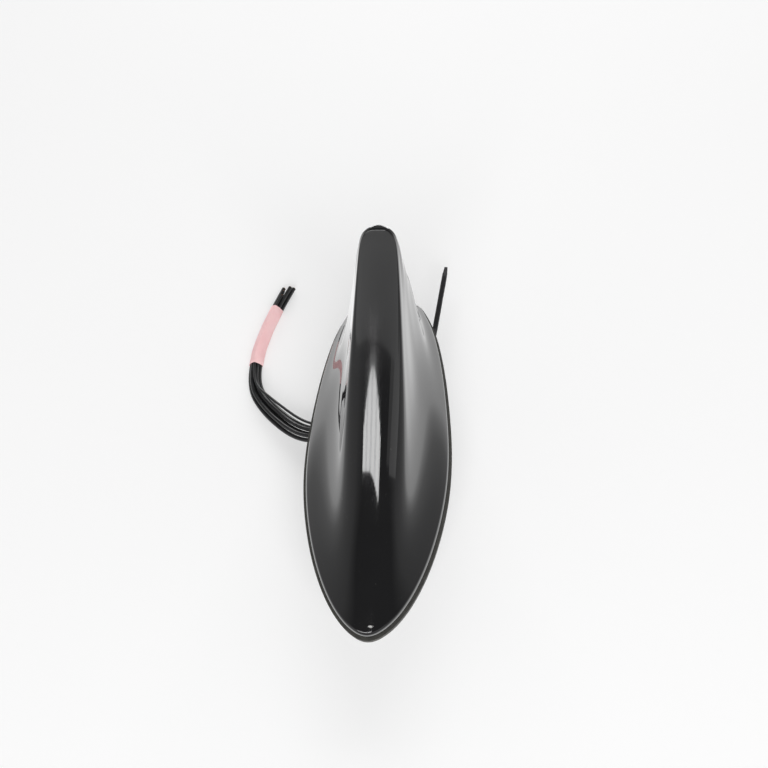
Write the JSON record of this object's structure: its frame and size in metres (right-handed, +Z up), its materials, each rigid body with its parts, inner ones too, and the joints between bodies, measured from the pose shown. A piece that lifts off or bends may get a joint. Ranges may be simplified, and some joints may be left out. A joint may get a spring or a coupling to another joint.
{
  "type": "gps antenna",
  "caption": "Car roof antenna: gloss black fin cover on a rubber seal and cast base with a stud, satellite and radio boards inside, and taped, cut coaxial leads below.",
  "frame": {"origin": "on the mounting stud's axis, in the plane of the gasket's underside, which is the plane of the car's roof", "axes": "+Z up from the roof, -Y towards the fin's low nose, +X to the right as seen from above with the nose at the bottom"},
  "size_m": [0.1037, 0.1906, 0.081],
  "materials": {
    "gloss_black": "polished black with fine scratches and dust",
    "seal_rubber": "matte grey-black, slightly mottled",
    "cast_metal": "die cast",
    "steel": "zinc plated",
    "circuit_board": "green solder mask",
    "patch_ceramic": "sintered, unglazed",
    "brass": "stamped sheet",
    "black_plastic": "moulded",
    "lead_jacket": "satin jacket",
    "pink_tape": "matte, lightly creased"
  },
  "bodies": {
    "root": {"cover": "gloss_black", "gasket": "seal_rubber", "base_plate": "cast_metal", "roof_hole_seal": "seal_rubber", "mounting_stud": "steel", "cable_grommet": "seal_rubber", "cover_screws": "steel", "main_circuit_board": "circuit_board", "board_screws": "steel", "patch_adhesive_pad": "seal_rubber", "gps_patch_ceramic": "patch_ceramic", "gps_patch_electrode": "brass", "gps_feed_pin": "brass", "amplifier_shield_can": "steel", "tuner_shield_can": "steel", "board_filters": "black_plastic", "radio_fin_board": "circuit_board", "radio_top_cap": "brass", "fin_board_header": "black_plastic", "phone_element_front": "brass", "phone_element_rear": "brass", "coax_lead_1": "lead_jacket", "coax_lead_2": "lead_jacket", "coax_lead_3": "lead_jacket", "coax_lead_4": "lead_jacket", "coax_lead_5": "lead_jacket", "thin_lead": "lead_jacket", "tape_wrap": "pink_tape", "cable_tie": "black_plastic"}
  },
  "joints": []
}
